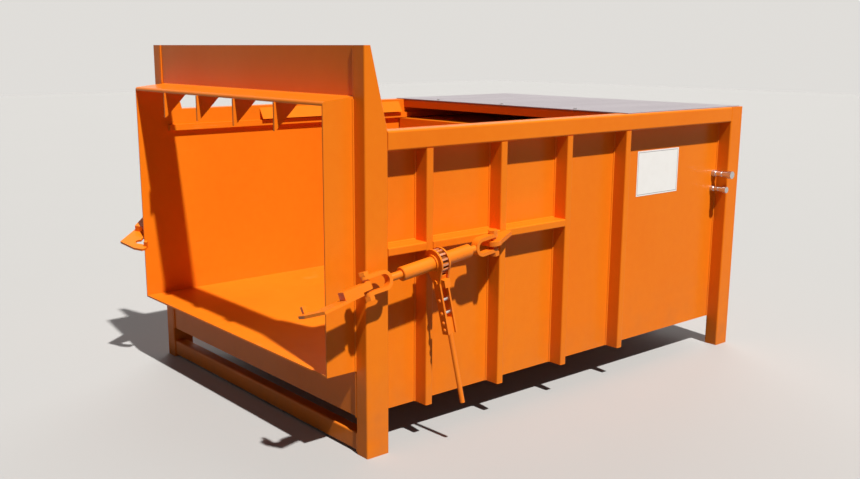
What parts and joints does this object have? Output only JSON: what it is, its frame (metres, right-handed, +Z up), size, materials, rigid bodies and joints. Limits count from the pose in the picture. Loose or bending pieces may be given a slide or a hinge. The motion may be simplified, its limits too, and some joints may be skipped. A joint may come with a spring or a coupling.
{
  "type": "stationary waste compactor",
  "caption": "Stationary waste compactor: open-topped ribbed steel chamber with a portal mouth, hydraulic ram, rear cover and ratchet turnbuckles with hooks on both sides.",
  "frame": {"origin": "centre of the bounding box on the ground", "axes": "+X from the mouth to the rear, +Y to the left seen from the mouth, +Z up"},
  "size_m": [2.861, 2.113, 1.65],
  "materials": {
    "body_paint": "gloss",
    "gear_paint": "satin",
    "cover_paint": "satin",
    "cylinder_paint": "satin",
    "bare_steel": "worn",
    "zinc_plate": "plated"
  },
  "bodies": {
    "frame": {"right_front_post": "body_paint", "left_front_post": "body_paint", "right_rear_post": "body_paint", "left_rear_post": "body_paint", "right_side_wall": "body_paint", "left_side_wall": "body_paint", "snout_side_plates": "body_paint", "floor_plate": "body_paint", "floor_bearers": "body_paint", "top_rails": "body_paint", "side_ribs": "body_paint", "mid_stiffeners": "body_paint", "portal_header": "body_paint", "retaining_teeth": "body_paint", "portal_sill": "body_paint", "portal_bottom_rail": "body_paint", "rear_wall": "body_paint", "rear_cross_rails": "body_paint", "rear_ribs": "body_paint", "ram_guides": "body_paint", "hopper_deflectors": "body_paint", "cover_sheet": "cover_paint", "cover_frame": "body_paint", "cover_bolts": "zinc_plate", "cylinder_mount": "cylinder_paint", "cylinder_pin": "bare_steel", "cylinder_barrel": "cylinder_paint", "hydraulic_couplings": "zinc_plate", "bulkhead_nuts": "zinc_plate", "hydraulic_pipes": "zinc_plate", "turnbuckle_lugs": "body_paint", "lug_bolts": "gear_paint"},
    "ram": {"ram_face": "body_paint", "ram_top": "body_paint", "ram_sides": "body_paint", "ram_webs": "body_paint", "ram_shoes": "bare_steel", "ram_lug": "body_paint", "ram_pin": "bare_steel", "plunger": "bare_steel"},
    "inner_stage": {"stage_two": "bare_steel"},
    "outer_stage": {"stage_one": "bare_steel"},
    "right_rear_end": {"right_rear_jaw": "gear_paint"},
    "right_carrier": {"right_keeper_rings": "gear_paint"},
    "right_sleeve": {"right_barrel": "gear_paint"},
    "right_front_end": {"right_front_jaw": "gear_paint", "right_jaw_bolt": "gear_paint"},
    "right_hook_body": {"right_hook": "gear_paint"},
    "right_lever": {"right_handle": "gear_paint", "right_pawl_bolt": "gear_paint"},
    "right_pawl_body": {"right_pawl": "gear_paint"},
    "left_rear_end": {"left_rear_jaw": "gear_paint"},
    "left_carrier": {"left_keeper_rings": "gear_paint"},
    "left_sleeve": {"left_barrel": "gear_paint"},
    "left_front_end": {"left_front_jaw": "gear_paint", "left_jaw_bolt": "gear_paint"},
    "left_hook_body": {"left_hook": "gear_paint"},
    "left_lever": {"left_handle": "gear_paint", "left_pawl_bolt": "gear_paint"},
    "left_pawl_body": {"left_pawl": "gear_paint"}
  },
  "joints": [
    {"name": "ram_travel", "type": "slide", "parent": "frame", "child": "ram", "axis": [-1, 0, 0], "range_m": [0, 1.65]},
    {"name": "outer_stage_travel", "type": "slide", "parent": "frame", "child": "outer_stage", "axis": [-1, 0, 0], "range_m": [0, 0.55]},
    {"name": "inner_stage_travel", "type": "slide", "parent": "frame", "child": "inner_stage", "axis": [-1, 0, 0], "range_m": [0, 1.1]},
    {"name": "right_turnbuckle_swing", "type": "hinge", "parent": "frame", "child": "right_rear_end", "pos_m": [-0.49053, -0.967, 0.833], "axis": [-0.1253, 0, 0.9921], "range_deg": [0, 110]},
    {"name": "right_barrel_creep", "type": "slide", "parent": "right_rear_end", "child": "right_carrier", "axis": [-0.9921, 0, -0.1253], "range_m": [-0.024, 0.048]},
    {"name": "right_barrel_turn", "type": "hinge", "parent": "right_carrier", "child": "right_sleeve", "pos_m": [-0.80702, -0.967, 0.79302], "axis": [-0.9921, 0, -0.1253], "range_deg": [-2160, 1080]},
    {"name": "right_front_jaw_creep", "type": "slide", "parent": "right_carrier", "child": "right_front_end", "axis": [-0.9921, 0, -0.1253], "range_m": [-0.024, 0.048]},
    {"name": "right_hook_swing", "type": "hinge", "parent": "right_front_end", "child": "right_hook_body", "pos_m": [-1.16418, -0.967, 0.7479], "axis": [-0.1211, 0.2588, 0.9583], "range_deg": [-38, 95]},
    {"name": "right_handle_swing", "type": "hinge", "parent": "right_carrier", "child": "right_lever", "pos_m": [-0.80702, -0.967, 0.79302], "axis": [-0.9921, 0, -0.1253], "range_deg": [0, 154.29]},
    {"name": "right_pawl_tilt", "type": "hinge", "parent": "right_lever", "child": "right_pawl_body", "pos_m": [-0.79683, -0.9777, 0.71236], "axis": [-0.9921, 0, -0.1253], "range_deg": [-18, 18]},
    {"name": "left_turnbuckle_swing", "type": "hinge", "parent": "frame", "child": "left_rear_end", "pos_m": [-0.49053, 0.967, 0.833], "axis": [0.1253, 0, -0.9921], "range_deg": [0, 110]},
    {"name": "left_barrel_creep", "type": "slide", "parent": "left_rear_end", "child": "left_carrier", "axis": [-0.9921, 0, -0.1253], "range_m": [0, 0.048]},
    {"name": "left_barrel_turn", "type": "hinge", "parent": "left_carrier", "child": "left_sleeve", "pos_m": [-0.80702, 0.967, 0.79302], "axis": [0.9921, 0, 0.1253], "range_deg": [-2160, 0]},
    {"name": "left_front_jaw_creep", "type": "slide", "parent": "left_carrier", "child": "left_front_end", "axis": [-0.9921, 0, -0.1253], "range_m": [0, 0.048]},
    {"name": "left_hook_swing", "type": "hinge", "parent": "left_front_end", "child": "left_hook_body", "pos_m": [-1.16418, 0.967, 0.7479], "axis": [0.1211, 0.2588, -0.9583], "range_deg": [0, 133]},
    {"name": "left_handle_swing", "type": "hinge", "parent": "left_carrier", "child": "left_lever", "pos_m": [-0.80702, 0.967, 0.79302], "axis": [0.9921, 0, 0.1253], "range_deg": [0, 154.29]},
    {"name": "left_pawl_tilt", "type": "hinge", "parent": "left_lever", "child": "left_pawl_body", "pos_m": [-0.79683, 0.9777, 0.71236], "axis": [0.9921, 0, 0.1253], "range_deg": [-18, 18]}
  ],
  "couplings": [
    {"joint": "outer_stage_travel", "follows": "ram_travel", "ratio": 0.33333},
    {"joint": "inner_stage_travel", "follows": "ram_travel", "ratio": 0.66667},
    {"joint": "right_barrel_creep", "follows": "right_barrel_turn", "m_per_rad": -0.0012732},
    {"joint": "right_front_jaw_creep", "follows": "right_barrel_turn", "m_per_rad": -0.0012732},
    {"joint": "left_barrel_creep", "follows": "left_barrel_turn", "m_per_rad": -0.0012732},
    {"joint": "left_front_jaw_creep", "follows": "left_barrel_turn", "m_per_rad": -0.0012732}
  ]
}
